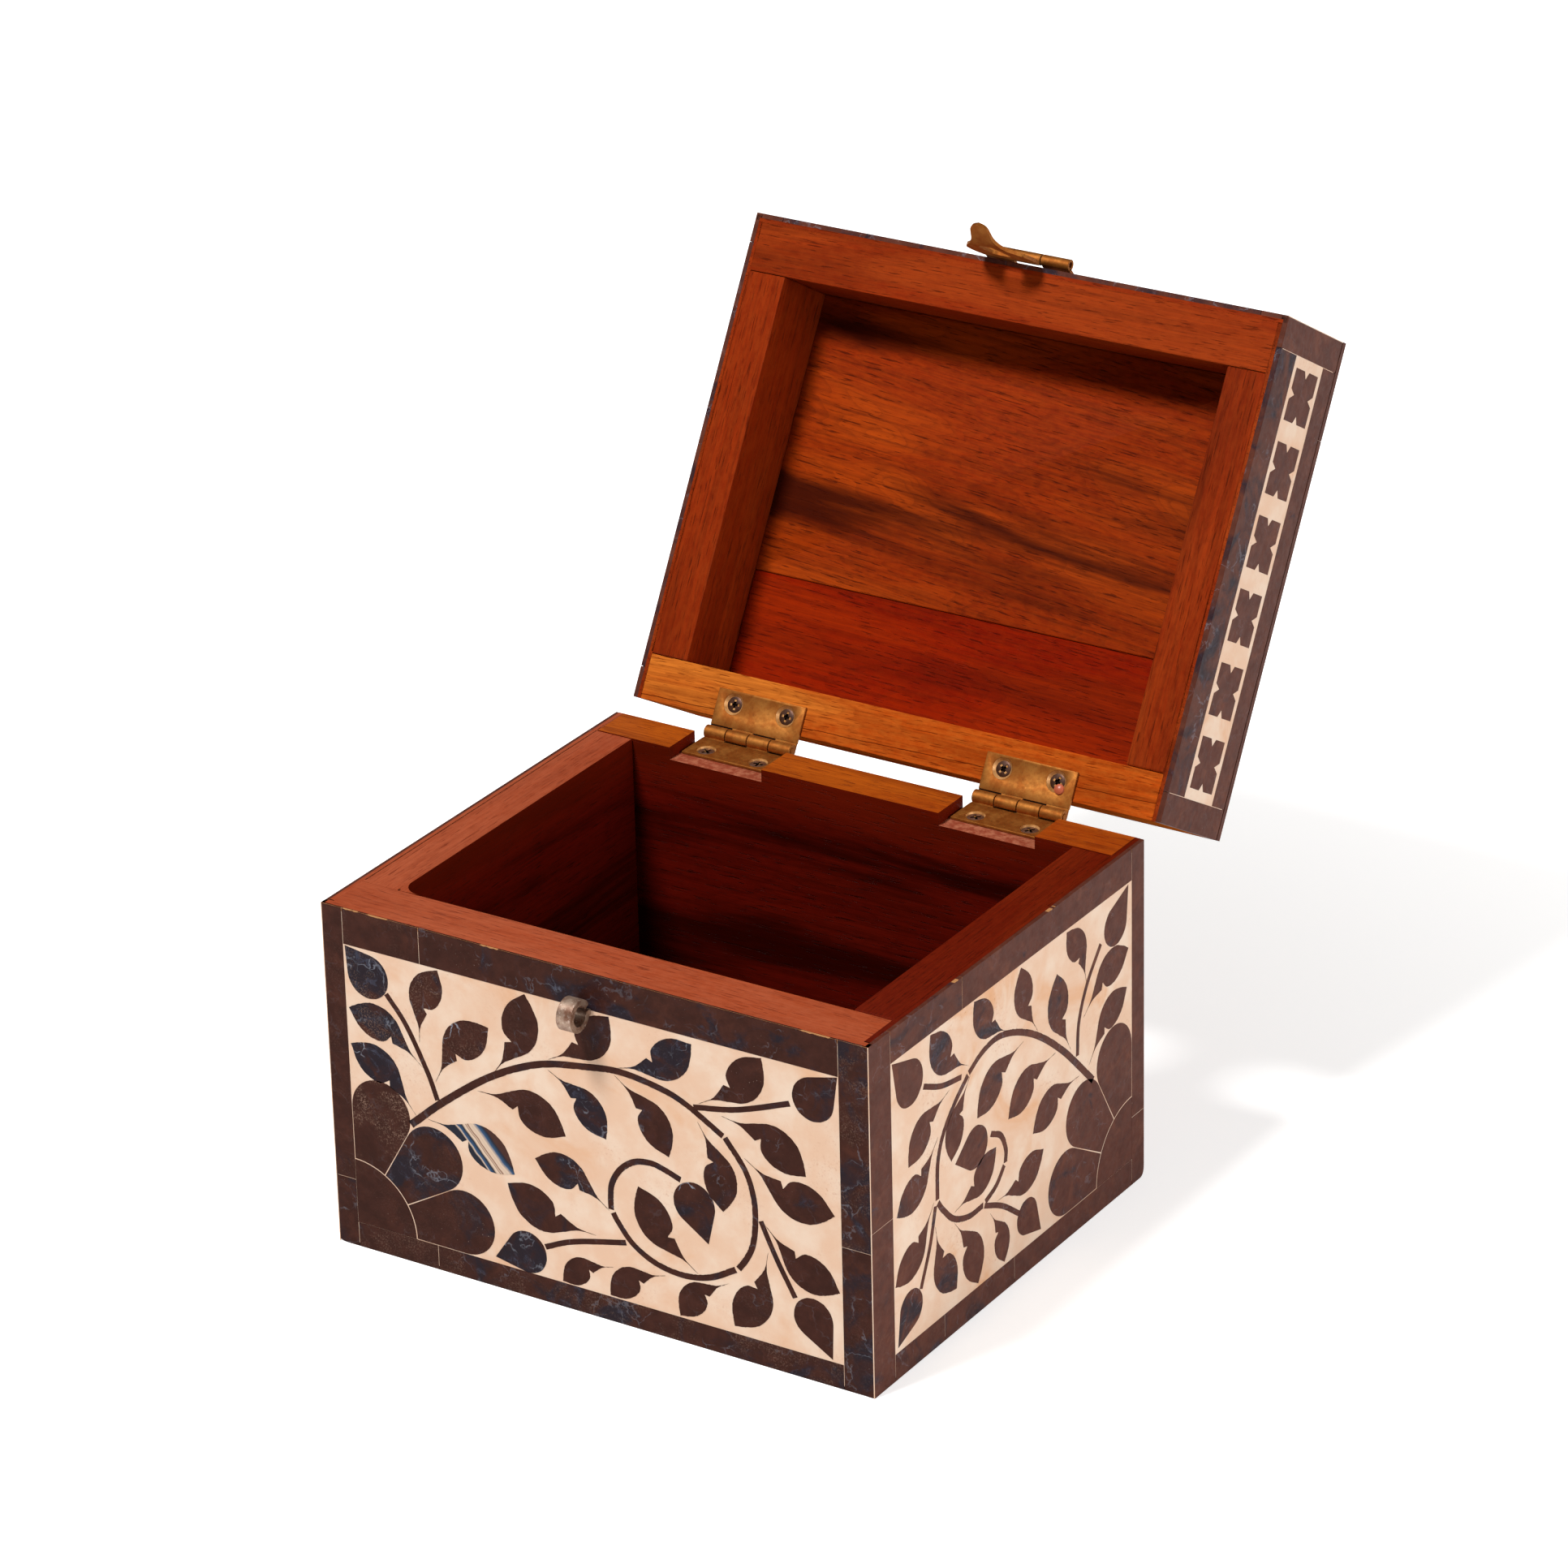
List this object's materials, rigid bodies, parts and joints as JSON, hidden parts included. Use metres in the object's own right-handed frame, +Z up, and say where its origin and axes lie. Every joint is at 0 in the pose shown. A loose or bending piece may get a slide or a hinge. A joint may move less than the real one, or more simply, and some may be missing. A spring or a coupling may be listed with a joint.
{
  "type": "inlaid keepsake box",
  "caption": "Rectangular wooden keepsake box with a hinged lid, dark vine-and-leaf inlay on a pale ground, brass butt hinges and a swinging hasp over a staple.",
  "frame": {"origin": "centre of the base's underside", "axes": "+Z up, +X to the right and +Y from the front to the hinged back"},
  "size_m": [0.152, 0.2351, 0.2166],
  "materials": {
    "carcass_wood": "glossy red-brown hardwood with dark streaks",
    "pale_wood": "lighter orange-brown hardwood, finely cracked",
    "panel_wood": "glossy red-brown boards",
    "dark_inlay": "polished dark horn-like tiles, brown-black with pale marbling",
    "cream_ground": "polished cream-peach filler with faint orange stains",
    "brass": "worn warm brass",
    "steel": "dull grey rolled metal strip",
    "screw_steel": "dark steel cross-head screws"
  },
  "bodies": {
    "base": {"front_wall": "carcass_wood", "back_wall": "pale_wood", "left_wall": "carcass_wood", "right_wall": "carcass_wood", "bottom_board": "panel_wood", "front_border": "dark_inlay", "front_leaf_inlay": "dark_inlay", "front_cream_ground": "cream_ground", "right_border": "dark_inlay", "right_leaf_inlay": "dark_inlay", "right_cream_ground": "cream_ground", "left_border": "dark_inlay", "left_leaf_inlay": "dark_inlay", "left_cream_ground": "cream_ground", "catch_staple": "steel", "left_hinge_base_leaf": "brass", "left_hinge_pin": "brass", "right_hinge_base_leaf": "brass", "right_hinge_pin": "brass", "left_hinge_left_base_screw": "screw_steel", "left_hinge_right_base_screw": "screw_steel", "right_hinge_left_base_screw": "screw_steel", "right_hinge_right_base_screw": "screw_steel"},
    "lid": {"lid_front_rail": "carcass_wood", "lid_back_rail": "pale_wood", "lid_left_rail": "carcass_wood", "lid_right_rail": "carcass_wood", "lid_front_board": "panel_wood", "lid_back_board": "panel_wood", "lid_top_border": "dark_inlay", "lid_top_leaf_inlay": "dark_inlay", "lid_top_cream_ground": "cream_ground", "lid_front_border": "dark_inlay", "lid_front_leaf_inlay": "dark_inlay", "lid_front_cream_ground": "cream_ground", "lid_right_border": "dark_inlay", "lid_right_leaf_inlay": "dark_inlay", "lid_right_cream_ground": "cream_ground", "lid_left_border": "dark_inlay", "lid_left_leaf_inlay": "dark_inlay", "lid_left_cream_ground": "cream_ground", "left_hinge_lid_leaf": "brass", "right_hinge_lid_leaf": "brass", "left_hinge_left_lid_screw": "screw_steel", "left_hinge_right_lid_screw": "screw_steel", "right_hinge_left_lid_screw": "screw_steel", "right_hinge_right_lid_screw": "screw_steel", "hasp_bracket": "brass", "hasp_pin": "brass", "hasp_left_nail": "brass", "hasp_right_nail": "brass"},
    "hasp": {"hasp_leaf": "brass"}
  },
  "joints": [
    {"name": "lid_hinge", "type": "hinge", "parent": "base", "child": "lid", "pos_m": [0, 0.06714, 0.0895], "axis": [-1, 0, 0], "range_deg": [-120, 60]},
    {"name": "hasp_swing", "type": "hinge", "parent": "lid", "child": "hasp", "pos_m": [-0.002, 0.1421, 0.19973], "axis": [-1, 0, 0], "range_deg": [0, 150]}
  ]
}
